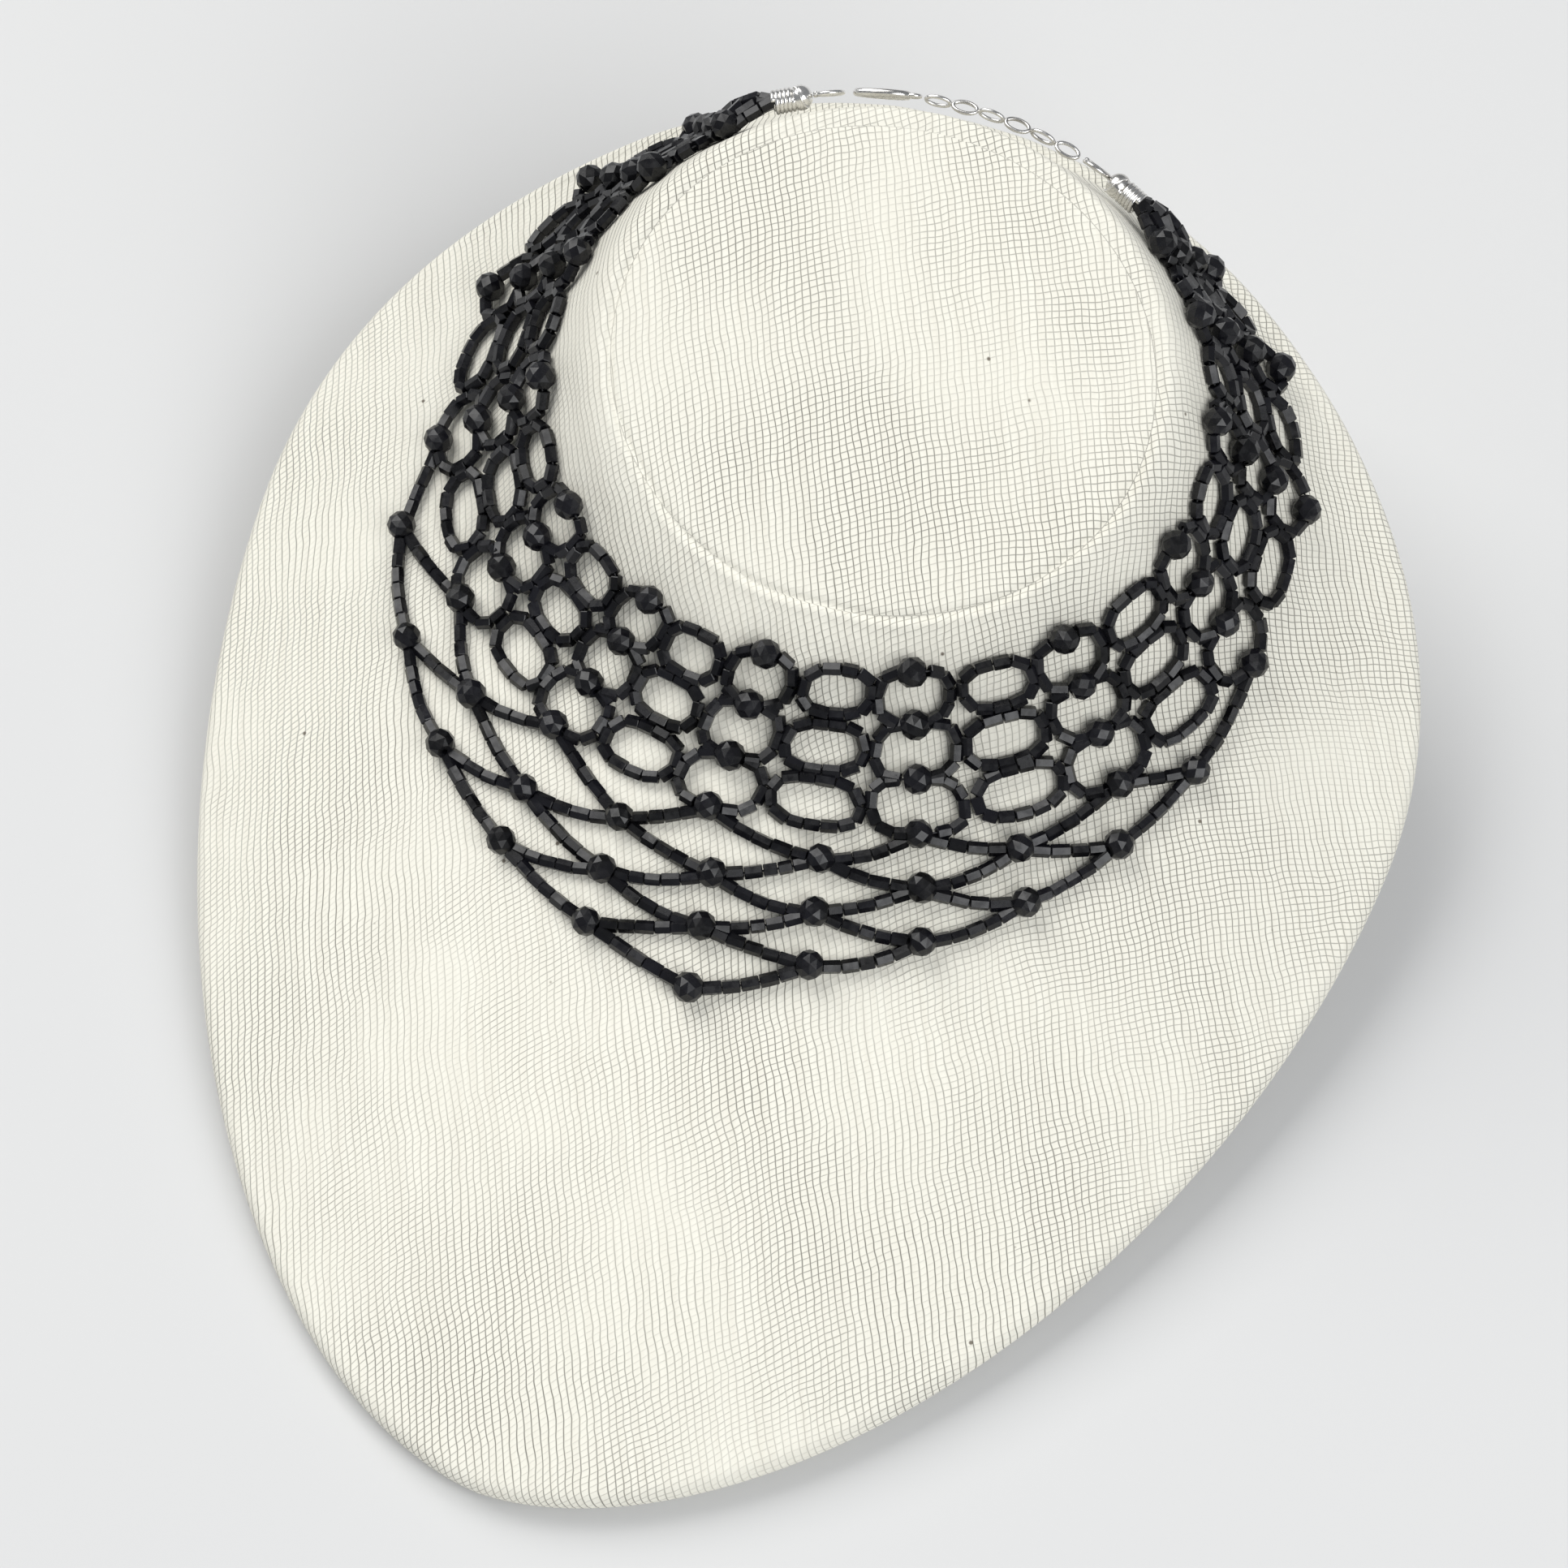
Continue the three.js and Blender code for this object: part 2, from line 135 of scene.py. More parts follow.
# the linen charted round the neck: one line of points down from the cap's rim for each degree
chartStep = 0.5
chartTurns = np.radians(np.arange(-180, 181))
chartDistances = np.arange(0, 240, chartStep)
boardReach = np.array([outlineReach(turn) for turn in chartTurns])


def chartLinen():
    grid = np.arange(0, 220, 0.25)
    radius = np.zeros((len(chartTurns), len(chartDistances)))
    for row, turn in enumerate(chartTurns):
        out = capReach(turn) + grid
        height = linenHeight(turn, out)
        run = np.concatenate([[0], np.cumsum(np.hypot(np.diff(out), np.diff(height)))])
        radius[row] = np.interp(chartDistances, run, out)
    turns = np.repeat(chartTurns[:, None], len(chartDistances), 1)
    points = polar(turns, radius, linenHeight(turns, radius))
    down = np.gradient(points, axis=1)
    round_ = np.gradient(points, axis=0)
    normal = np.cross(down, round_)
    normal /= np.linalg.norm(normal, axis=-1, keepdims=True)
    return radius, points, normal


chartRadius, chartSurface, chartNormal = chartLinen()


def onLinen(angle, distance, lift):  # points over the linen, in the row frame
    angle, distance, lift = np.broadcast_arrays(
        np.asarray(angle, float), np.asarray(distance, float), np.asarray(lift, float))
    row = np.clip(angle + 180, 0, 359.999)
    column = np.clip(distance / chartStep, 0, len(chartDistances) - 1.001)
    i, j = row.astype(int), column.astype(int)
    a, b = (row - i)[..., None], (column - j)[..., None]

    def blend(table):
        return ((1 - a) * (1 - b) * table[i, j] + a * (1 - b) * table[i + 1, j]
                + (1 - a) * b * table[i, j + 1] + a * b * table[i + 1, j + 1])

    normal = blend(chartNormal)
    return toWorld(blend(chartSurface) + normal * lift[..., None]), normal @ boardTurn.T


def makeMesh(name, points, faces, smooth=True, uv=None):  # points in mm
    mesh = bpy.data.meshes.new(name)
    mesh.from_pydata((np.asarray(points) * mm).tolist(), [], [tuple(face) for face in faces])
    mesh.polygons.foreach_set("use_smooth", [smooth] * len(mesh.polygons))
    if uv is not None:
        layer = mesh.uv_layers.new(name="cloth")
        corners = np.zeros(len(mesh.loops), np.int32)
        mesh.loops.foreach_get("vertex_index", corners)
        layer.data.foreach_set("uv", np.asarray(uv, np.float32)[corners].ravel())
    mesh.update()
    piece = bpy.data.objects.new(name, mesh)
    bpy.context.scene.collection.objects.link(piece)
    return piece


def gridFaces(rows, columns, closed):  # quads between rows of points, round each row if closed
    faces = []
    last = columns if closed else columns - 1
    for row in range(rows - 1):
        for column in range(last):
            nextColumn = (column + 1) % columns
            faces.append((row * columns + column, row * columns + nextColumn,
                          (row + 1) * columns + nextColumn, (row + 1) * columns + column))
    return faces


def finishPiece(piece, material, slot, *nodes):
    piece.data.materials.append(material)
    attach(piece, "root")
    if nodes:
        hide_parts(*nodes)
    return piece


# ---- shader groups and materials ----


def newGroup(name, inputs, outputs):
    group = bpy.data.node_groups.new(name, "ShaderNodeTree")
    for label, kind, value in inputs:
        socket = group.interface.new_socket(name=label, in_out="INPUT", socket_type=kind)
        if value is not None:
            socket.default_value = value
    for label, kind in outputs:
        group.interface.new_socket(name=label, in_out="OUTPUT", socket_type=kind)
    return group, group.nodes.new("NodeGroupInput"), group.nodes.new("NodeGroupOutput")


def wire(tree, source, target):
    tree.links.new(source, target)


def mathNode(tree, operation, first, second=None, third=None):
    node = tree.nodes.new("ShaderNodeMath")
    node.operation = operation
    for socket, value in zip(node.inputs, (first, second, third)):
        if value is None:
            continue
        if isinstance(value, (int, float)):
            socket.default_value = value
        else:
            wire(tree, value, socket)
    return node.outputs[0]


def noiseNode(tree, vector, scale, detail=2.0, roughness=0.5):
    node = tree.nodes.new("ShaderNodeTexNoise")
    node.inputs["Scale"].default_value = scale
    node.inputs["Detail"].default_value = detail
    node.inputs["Roughness"].default_value = roughness
    if vector is not None:
        wire(tree, vector, node.inputs["Vector"])
    return node


def rangeNode(tree, value, fromMin, fromMax, toMin=0.0, toMax=1.0):
    node = tree.nodes.new("ShaderNodeMapRange")
    wire(tree, value, node.inputs["Value"])
    for label, number in (("From Min", fromMin), ("From Max", fromMax), ("To Min", toMin), ("To Max", toMax)):
        node.inputs[label].default_value = number
    return node.outputs["Result"]


def mixColor(tree, factor, first, second, blendType="MIX"):
    node = tree.nodes.new("ShaderNodeMix")
    node.data_type = "RGBA"
    node.blend_type = blendType
    for socket, value in ((node.inputs[0], factor), (node.inputs[6], first), (node.inputs[7], second)):
        if isinstance(value, (int, float)):
            socket.default_value = value
        elif isinstance(value, tuple):
            socket.default_value = (*value, 1)
        else:
            wire(tree, value, socket)
    return node.outputs[2]


def buildWeaveGroup():  # plain weave of puffy threads with thin gaps, in cloth millimetres
    group, given, out = newGroup("plainWeave", [
        ("Cloth", "NodeSocketVector", None),
        ("Warp Pitch", "NodeSocketFloat", 1.35),
        ("Weft Pitch", "NodeSocketFloat", 1.15),
        ("Gap", "NodeSocketFloat", 0.09),
        ("Turn", "NodeSocketFloat", 0.3),
    ], [("Height", "NodeSocketFloat"), ("Warp Gaps", "NodeSocketFloat"), ("Weft Gaps", "NodeSocketFloat"),
        ("Threads", "NodeSocketFloat")])
    turn = group.nodes.new("ShaderNodeVectorRotate")
    turn.rotation_type = "Z_AXIS"
    wire(group, given.outputs["Cloth"], turn.inputs["Vector"])
    wire(group, given.outputs["Turn"], turn.inputs["Angle"])
    wander = noiseNode(group, turn.outputs[0], 0.06, 3.0)
    wanderMove = group.nodes.new("ShaderNodeVectorMath")
    wanderMove.operation = "MULTIPLY_ADD"
    wire(group, wander.outputs["Color"], wanderMove.inputs[0])
    wanderMove.inputs[1].default_value = (3.2, 3.2, 0)
    wire(group, turn.outputs[0], wanderMove.inputs[2])
    split = group.nodes.new("ShaderNodeSeparateXYZ")
    wire(group, wanderMove.outputs[0], split.inputs[0])
    # the weft climbs across the warp, less and less to the right
    bend = mathNode(group, "MULTIPLY_ADD", split.outputs[0], 0.0016, -0.22)
    slanted = mathNode(group, "MULTIPLY_ADD", split.outputs[0], bend, split.outputs[1])
    across = mathNode(group, "DIVIDE", split.outputs[0], given.outputs["Warp Pitch"])
    along = mathNode(group, "DIVIDE", slanted, given.outputs["Weft Pitch"])
    crowns, edges, sines = [], [], []
    for place in (across, along):
        part = mathNode(group, "FRACT", place)
        rest = mathNode(group, "SUBTRACT", 1.0, part)
        crown = mathNode(group, "POWER", mathNode(group, "MULTIPLY", mathNode(group, "MULTIPLY", part, rest), 4.0), 0.6)
        crowns.append(crown)
        edges.append(mathNode(group, "MINIMUM", part, rest))
        sines.append(mathNode(group, "MULTIPLY_ADD", crown, 0.45, 0.55))
    cells = mathNode(group, "ADD", mathNode(group, "FLOOR", across), mathNode(group, "FLOOR", along))
    parity = mathNode(group, "FLOORED_MODULO", cells, 2.0)
    warpTop = mathNode(group, "MULTIPLY", crowns[0], sines[1])
    weftTop = mathNode(group, "MULTIPLY", mathNode(group, "MULTIPLY", crowns[1], sines[0]), 0.9)
    swap = mathNode(group, "SUBTRACT", weftTop, warpTop)
    height = mathNode(group, "MULTIPLY_ADD", swap, parity, warpTop)
    wire(group, height, out.inputs["Height"])
    warpGap = group.nodes.new("ShaderNodeMapRange")
    wire(group, edges[0], warpGap.inputs["Value"])
    wire(group, given.outputs["Gap"], warpGap.inputs["From Min"])
    warpGap.inputs["From Max"].default_value = 0.0
    weftGap = group.nodes.new("ShaderNodeMapRange")
    wire(group, edges[1], weftGap.inputs["Value"])
    wire(group, given.outputs["Gap"], weftGap.inputs["From Min"])
    weftGap.inputs["From Max"].default_value = 0.0
    wire(group, warpGap.outputs[0], out.inputs["Warp Gaps"])
    wire(group, weftGap.outputs[0], out.inputs["Weft Gaps"])
    stretch = group.nodes.new("ShaderNodeVectorMath")
    stretch.operation = "MULTIPLY"
    wire(group, turn.outputs[0], stretch.inputs[0])
    stretch.inputs[1].default_value = (0.75, 0.03, 1)
    streaks = noiseNode(group, stretch.outputs[0], 1.0, 2.0)
    wire(group, streaks.outputs["Fac"], out.inputs["Threads"])
    return group


def newMaterial(name):
    material = bpy.data.materials.new(name)
    material.use_nodes = True
    tree = material.node_tree
    shader = tree.nodes["Principled BSDF"]
    return material, tree, shader


def placeGroup(tree, group, **values):
    node = tree.nodes.new("ShaderNodeGroup")
    node.node_tree = group
    for label, value in values.items():
        node.inputs[label].default_value = value
    return node


linen = {
    "light": (0.865, 0.845, 0.75),
    "warm": (0.82, 0.795, 0.70),
    # gap: painted shade, the dark that falls into the gaps between the threads
    "gap": (0.10, 0.095, 0.08),
    "fleck": (0.10, 0.075, 0.05),
    "warpPitch": 1.3,
    "weftPitch": 1.12,
    "gapWidth": 0.125,
    "turn": -0.47,  # radians between the threads and the bust's own axis
    "weaveDepth": 0.09,  # mm
}


def linenMaterial(name, turn):
    material, tree, shader = newMaterial(name)
    cloth = tree.nodes.new("ShaderNodeUVMap")
    cloth.uv_map = "cloth"
    weave = placeGroup(tree, weaveGroup, **{
        "Warp Pitch": linen["warpPitch"], "Weft Pitch": linen["weftPitch"], "Gap": linen["gapWidth"], "Turn": turn})
    wire(tree, cloth.outputs[0], weave.inputs["Cloth"])
    patches = noiseNode(tree, cloth.outputs[0], 0.018, 2.0)
    # patches in how dark the painted shade in the warp gaps is
    warpGapShadePatches = rangeNode(tree, patches.outputs["Fac"], 0.36, 0.60, 0.36, 1.0)
    base = mixColor(tree, rangeNode(tree, weave.outputs["Threads"], 0.3, 0.7), linen["light"], linen["warm"])
    weftPatches = noiseNode(tree, cloth.outputs[0], 0.032, 3.0)
    weftShown = rangeNode(tree, weftPatches.outputs["Fac"], 0.42, 0.58, 0.14, 0.7)
    warpLines = mathNode(tree, "MULTIPLY", weave.outputs["Warp Gaps"], warpGapShadePatches)
    weftLines = mathNode(tree, "MULTIPLY", weave.outputs["Weft Gaps"], weftShown)
    gapShade = mathNode(tree, "MAXIMUM", warpLines, weftLines)
    # the gaps between the threads painted dark: painted shade in place of the shadow between threads
    gapShadedColour = mixColor(tree, gapShade, base, linen["gap"])
    fleckCells = tree.nodes.new("ShaderNodeTexVoronoi")
    fleckCells.inputs["Scale"].default_value = 0.11
    wire(tree, cloth.outputs[0], fleckCells.inputs["Vector"])
    fleck = rangeNode(tree, fleckCells.outputs["Distance"], 0.050, 0.028)
    chosen = tree.nodes.new("ShaderNodeSeparateColor")
    wire(tree, fleckCells.outputs["Color"], chosen.inputs[0])
    rare = mathNode(tree, "GREATER_THAN", chosen.outputs[0], 0.62)
    fleckMask = mathNode(tree, "MULTIPLY", mathNode(tree, "MULTIPLY", fleck, rare), 0.85)
    wire(tree, mixColor(tree, fleckMask, gapShadedColour, linen["fleck"]), shader.inputs["Base Color"])
    wire(tree, rangeNode(tree, weave.outputs["Height"], 0.0, 1.0, 0.97, 0.84), shader.inputs["Roughness"])
    fuzz = noiseNode(tree, cloth.outputs[0], 3.0, 3.0)
    height = mathNode(tree, "MULTIPLY_ADD", fuzz.outputs["Fac"], 0.35, weave.outputs["Height"])
    bump = tree.nodes.new("ShaderNodeBump")
    bump.inputs["Distance"].default_value = linen["weaveDepth"] * mm
    bump.inputs["Strength"].default_value = 0.9
    wire(tree, height, bump.inputs["Height"])
    wire(tree, bump.outputs[0], shader.inputs["Normal"])
    shader.inputs["Sheen Weight"].default_value = 0.12
    shader.inputs["Sheen Roughness"].default_value = 0.5
    shader.inputs["Specular IOR Level"].default_value = 0.25
    return material


def buildScratchGroup():  # fine handling marks and a soft film of dust, from object position
    group, given, out = newGroup("handling", [
        ("Scale", "NodeSocketFloat", 900.0),
        ("Least", "NodeSocketFloat", 0.1),
        ("Most", "NodeSocketFloat", 0.3),
    ], [("Roughness", "NodeSocketFloat"), ("Height", "NodeSocketFloat"), ("Film", "NodeSocketFloat")])
    place = group.nodes.new("ShaderNodeTexCoord")
    marks = noiseNode(group, place.outputs["Object"], 900.0, 3.0)
    wire(group, given.outputs["Scale"], marks.inputs["Scale"])
    spread = group.nodes.new("ShaderNodeMapRange")
    wire(group, marks.outputs["Fac"], spread.inputs["Value"])
    spread.inputs["From Min"].default_value = 0.3
    spread.inputs["From Max"].default_value = 0.7
    wire(group, given.outputs["Least"], spread.inputs["To Min"])
    wire(group, given.outputs["Most"], spread.inputs["To Max"])
    wire(group, spread.outputs[0], out.inputs["Roughness"])
    wire(group, marks.outputs["Fac"], out.inputs["Height"])
    film = noiseNode(group, place.outputs["Object"], 120.0, 2.0)
    wire(group, film.outputs["Fac"], out.inputs["Film"])
    return group


glass = {"dark": (0.0025, 0.0025, 0.003), "light": (0.007, 0.007, 0.010), "least": 0.16, "most": 0.38}
silver = {"bright": (0.80, 0.79, 0.77), "dull": (0.42, 0.40, 0.37), "least": 0.14, "most": 0.34}
thread = {"dark": (0.012, 0.012, 0.014), "light": (0.05, 0.05, 0.055)}


def glassMaterial():
    material, tree, shader = newMaterial("blackGlass")
    marks = placeGroup(tree, handlingGroup, **{"Scale": 700.0, "Least": glass["least"], "Most": glass["most"]})
    wire(tree, mixColor(tree, rangeNode(tree, marks.outputs["Film"], 0.35, 0.7), glass["dark"], glass["light"]),
         shader.inputs["Base Color"])
    wire(tree, marks.outputs["Roughness"], shader.inputs["Roughness"])
    bump = tree.nodes.new("ShaderNodeBump")
    bump.inputs["Distance"].default_value = 0.02 * mm
    bump.inputs["Strength"].default_value = 0.35
    wire(tree, marks.outputs["Height"], bump.inputs["Height"])
    wire(tree, bump.outputs[0], shader.inputs["Normal"])
    shader.inputs["IOR"].default_value = 1.42
    return material


def silverMaterial():
    material, tree, shader = newMaterial("silverPlate")
    marks = placeGroup(tree, handlingGroup, **{"Scale": 1500.0, "Least": silver["least"], "Most": silver["most"]})
    wire(tree, mixColor(tree, rangeNode(tree, marks.outputs["Film"], 0.45, 0.75), silver["bright"], silver["dull"]),
         shader.inputs["Base Color"])
    wire(tree, marks.outputs["Roughness"], shader.inputs["Roughness"])
    shader.inputs["Metallic"].default_value = 1.0
    return material


def threadMaterial():
    material, tree, shader = newMaterial("beadingThread")
    marks = placeGroup(tree, handlingGroup, **{"Scale": 2500.0, "Least": 0.55, "Most": 0.8})
    wire(tree, mixColor(tree, marks.outputs["Film"], thread["dark"], thread["light"]), shader.inputs["Base Color"])
    wire(tree, marks.outputs["Roughness"], shader.inputs["Roughness"])
    return material


weaveGroup = buildWeaveGroup()
handlingGroup = buildScratchGroup()
boardLinen = linenMaterial("linenCanvas", linen["turn"])
blackGlass = glassMaterial()
silverPlate = silverMaterial()
beadingThread = threadMaterial()
print("materials ready")

# ---- bust ----

cover = {
    "around": 400,
    "capRings": 70,
    "rimRings": 34,
    "boardRings": 96,
    "rimBand": 5.0,  # finely ringed to each side of the cap's rim
    "rimSoftness": 4.2,
    "dome": 0.9,
    "seamIn": 3.7,  # the cap's seam lies inside the rim
    "seamDepth": 0.55,
    "seamWidth": 0.75,
    "seamRidge": 0.2,
    "foldHeight": 0.5,
    "edgeSteps": 10,
    "follow": 0.7,
}


def seamStrength(turn):  # the seam shows at the front and sides and fades behind
    return np.clip((np.cos(turn) + 0.75) / 0.9, 0.12, 1.0)


def coverHeight(turn, radius):
    rim = capReach(turn)
    plane = capPlane(radius * np.cos(turn)) + cover["dome"] * (1 - (radius / rim) ** 2)
    base = boardHeight(radius * np.sin(turn), radius * np.cos(turn))
    share = np.maximum(1 - (radius - rim) / flareReach(turn), 0)
    rise = capPlane(rim * np.cos(turn)) - boardHeight(rim * np.sin(turn), rim * np.cos(turn))
    flare = base + rise * share**2
    soft = cover["rimSoftness"]
    plane = np.where(radius > rim + cover["rimBand"], flare + soft, plane)
    height = np.minimum(plane, flare) - np.maximum(soft - np.abs(plane - flare), 0) ** 2 / (4 * soft)
    pucker = 0.6 * np.sin(47 * turn + 2 * np.sin(5 * turn)) + 0.4 * np.sin(83 * turn + 1)
    wander = 0.35 * np.sin(6 * turn + 1) + 0.2 * np.sin(13 * turn)
    inward = rim - radius - cover["seamIn"] - wander
    seam = -cover["seamDepth"] * np.exp(-((inward / cover["seamWidth"]) ** 2))
    ridge = cover["seamRidge"] * (1 + 0.4 * pucker) * np.exp(-(((inward + 1.5) / 0.9) ** 2))
    folds = np.sin(17 * turn + 1.5 * np.sin(3 * turn)) + 0.6 * np.sin(29 * turn + 2)
    fold = cover["foldHeight"] * 0.4 * folds * 4 * share * (1 - share) * (radius > rim)
    return height + (seam + ridge) * seamStrength(turn) + fold


def coverPiece():
    count = cover["around"]
    turns = np.linspace(-math.pi, math.pi, count, endpoint=False)
    reach = np.interp(turns, chartTurns, boardReach)
    half = bust["thickness"] / 2
    outer = reach - half
    rim = capReach(turns)
    band = cover["rimBand"]
    rows, cloth = [], []
    laid = {"reach": np.zeros(count), "radius": np.zeros(count), "points": None}

    def addRow(radius, height, follow):  # follow: how far the cloth runs with the slope, not seen from above
        points = toWorld(polar(turns, radius, height))
        step = 0 if laid["points"] is None else np.linalg.norm(points - laid["points"], axis=1)
        laid["reach"] = laid["reach"] + (1 - follow) * (radius - laid["radius"]) + follow * step
        if laid["points"] is None:
            laid["reach"] = np.array(radius, float)
        laid["radius"], laid["points"] = np.array(radius, float), points
        rows.append(points)
        across, along = laid["reach"] * np.sin(turns), -laid["reach"] * np.cos(turns)
        isCap = radius < rim - cover["seamIn"]
        cloth.append(np.stack([across + isCap * 0.4, along + isCap * (0.6 + 0.16 * across)], axis=-1))

    for step in range(1, cover["capRings"] + 1):
        radius = (rim - band) * (step / cover["capRings"]) ** 0.8
        addRow(radius, coverHeight(turns, radius), cover["follow"])
    for step in range(1, 2 * cover["rimRings"] + 1):
        radius = rim - band + band * step / cover["rimRings"]
        addRow(radius, coverHeight(turns, radius), cover["follow"])
    for step in range(1, cover["boardRings"] + 1):
        radius = rim + band + (outer - rim - band) * (step / cover["boardRings"]) ** 1.2
        addRow(radius, coverHeight(turns, radius), cover["follow"])
    edgeHeight = coverHeight(turns, outer)
    for step in range(1, cover["edgeSteps"] + 1):
        swing = math.pi * step / cover["edgeSteps"]
        addRow(outer + half * math.sin(swing), edgeHeight - half * (1 - math.cos(swing)), 1.0)
    for share in (0.97, 0.9, 0.7, 0.5, 0.3, 0.12):
        radius = (outer - 2) * share
        under = boardHeight(radius * np.sin(turns), radius * np.cos(turns)) - bust["thickness"]
        addRow(radius, under, 1.0)
    faces = gridFaces(len(rows), count, True)
    faces.append(tuple(reversed(range(count))))
    base = (len(rows) - 1) * count
    faces.append(tuple(base + k for k in range(count)))
    return makeMesh("linenCover", np.concatenate(rows), faces, True, np.concatenate(cloth))


finishPiece(coverPiece(), boardLinen, "linen", "bust_form")
print("bust covered")

# ---- bead shapes ----

tube = {"radius": 1.2, "hole": 0.42, "bevel": 0.14, "sides": 6, "length": 3.0, "gap": 0.16}
round_ = {"radius": 2.68, "hole": 0.55, "sides": 8}


def tubeTemplate():  # hexagonal tube bead along Z; z = half length * end + offset
    rings = [
        (tube["hole"], -1, 0.0), (tube["radius"] - tube["bevel"], -1, 0.0), (tube["radius"], -1, tube["bevel"]),
        (tube["radius"], 1, -tube["bevel"]), (tube["radius"] - tube["bevel"], 1, 0.0), (tube["hole"], 1, 0.0),
    ]
    sides = tube["sides"]
    points = []
    for radius, end, offset in rings:
        for side in range(sides):
            swing = 2 * math.pi * side / sides
            points.append((radius * math.cos(swing), radius * math.sin(swing), end, offset))
    faces = gridFaces(len(rings), sides, True)
    faces += [((len(rings) - 1) * sides + k, (len(rings) - 1) * sides + (k + 1) % sides, (k + 1) % sides, k)
              for k in range(sides)]
    return np.array(points), np.array(faces)


def roundTemplate():  # faceted round bead, its hole along Z
    radius, sides = round_["radius"], round_["sides"]
    rings = [
        (round_["hole"], -0.86, 0), (0.52, -0.86, 0), (0.90, -0.46, 0.5), (1.0, 0.0, 0),
        (0.90, 0.46, 0.5), (0.52, 0.86, 0), (round_["hole"], 0.86, 0),
    ]
    points = []
    for index, (reach, height, twist) in enumerate(rings):
        reach = reach if index in (0, len(rings) - 1) else reach * radius
        for side in range(sides):
            swing = 2 * math.pi * (side + twist) / sides
            points.append((reach * math.cos(swing), reach * math.sin(swing), 0, height * radius))
    faces = []
    for row in range(len(rings) - 1):
        twisted = rings[row][2] != rings[row + 1][2]
        for side in range(sides):
            a, b = row * sides + side, row * sides + (side + 1) % sides
            c, d = (row + 1) * sides + (side + 1) % sides, (row + 1) * sides + side
            if not twisted:
                faces.append((a, b, c, d))
            elif rings[row][2] == 0:
                faces += [(a, b, d), (b, c, d)]
            else:
                faces += [(a, b, c), (a, c, d)]
    last = (len(rings) - 1) * sides
    faces += [(last + k, last + (k + 1) % sides, (k + 1) % sides, k) for k in range(sides)]
    return np.array(points), faces


def axesFor(direction, normal, roll):
    along = direction / np.linalg.norm(direction)
    side = np.cross(normal, along)
    side /= np.linalg.norm(side)
    up = np.cross(along, side)
    return np.stack([side * math.cos(roll) + up * math.sin(roll), up * math.cos(roll) - side * math.sin(roll), along])


class BeadHeap:  # gathers placed copies of one template into one mesh
    def __init__(self, template):
        self.points, self.faces = template
        self.placed = []

    def add(self, centre, direction, normal, length=0.0, size=1.0, roll=0.0):
        local = self.points[:, :3] * size
        local[:, 2] = self.points[:, 2] * length / 2 + self.points[:, 3] * size
        self.placed.append(local @ axesFor(direction, normal, roll) + centre)

    def mesh(self):
        count = len(self.points)
        faces = [tuple(int(k) + index * count for k in face)
                 for index in range(len(self.placed)) for face in self.faces]
        return np.concatenate(self.placed), faces


# ---- the net ----

net = {
    "stringLift": 1.35,
    "beadLift": 2.55,
    "tiers": 4,
    "side": 0.8,  # neighbouring strings lie this far to either side of a crossing
    "square": 2.9,  # 2 is an ellipse, more is squarer
    "lastColumn": 7,
    "pitch": 27.0,  # degrees between the columns in the middle
    "crowding": 0.14,  # times the column cubed
    "sideways": 2.5,
    "middleTurn": 5.5,
    "middleWidth": 1.5,  # columns
    "drawIn": 4.5,  # degrees less at the last tier, halfway along each side
    "start": 6.5,  # first tier down from the rim, in the middle
    "endDrop": 1.5,
    "flankDrop": 5.0,
    "lean": 3.0,  # how much lower the left side hangs
    "leanWidth": 1.0,
    "depth": 30.0,  # first tier to last, in the middle
    "endDepth": 4.0,
    "endPower": 5.0,
}


def columnPlace(column, share):
    out = column / net["lastColumn"]
    side = math.sin(math.pi * out)
    middle = math.exp(-((column / net["middleWidth"]) ** 2))
    angle = net["pitch"] * column - net["crowding"] * column**3 + net["sideways"] - net["middleTurn"] * middle
    lean = net["lean"] * (1 - out**2) * column / math.hypot(column, net["leanWidth"])
    first = net["start"] + net["endDrop"] * out**2 + net["flankDrop"] * side**2 - lean
    depth = net["endDepth"] + (net["depth"] - net["endDepth"]) * (1 - abs(out) ** net["endPower"])
    return angle - net["drawIn"] * side * share, first + depth * share


bib = {
    "firstTier": 5,
    "lastTier": 10,
    "pitch": 24.0,  # degrees between the beads of the first row
    "drawIn": 0.6,  # degrees less in each further row
    "sideways": 0.4,
    "start": 42.5,  # down from the rim, in the middle of the first row
    "rowStep": 4.6,
    "flankDrop": 0.75,  # times the column squared
    "lean": 3.6,
    "leanWidth": 0.6,
    "pointDrop": 1.5,
    "bow": (-0.2, 1.1),  # how far a string sags between its beads
}


def bibPlace(column, tier):
    row = tier - bib["firstTier"]
    lean = bib["lean"] * column / math.hypot(column, bib["leanWidth"])
    point = bib["pointDrop"] if tier == bib["lastTier"] else 0
    angle = (bib["pitch"] - bib["drawIn"] * row) * column + bib["sideways"] * row
    return angle, bib["start"] + bib["rowStep"] * row + bib["flankDrop"] * column**2 - lean + point


def netPlace(column, tier):  # tier counts from 1
    return columnPlace(column, (tier - 1) / (net["tiers"] - 1))


def smoothRoute(places, lifts):  # (angle, distance) places to points and normals over the linen
    places = np.array(places)
    return onLinen(places[:, 0], places[:, 1], np.array(lifts))


threads = []


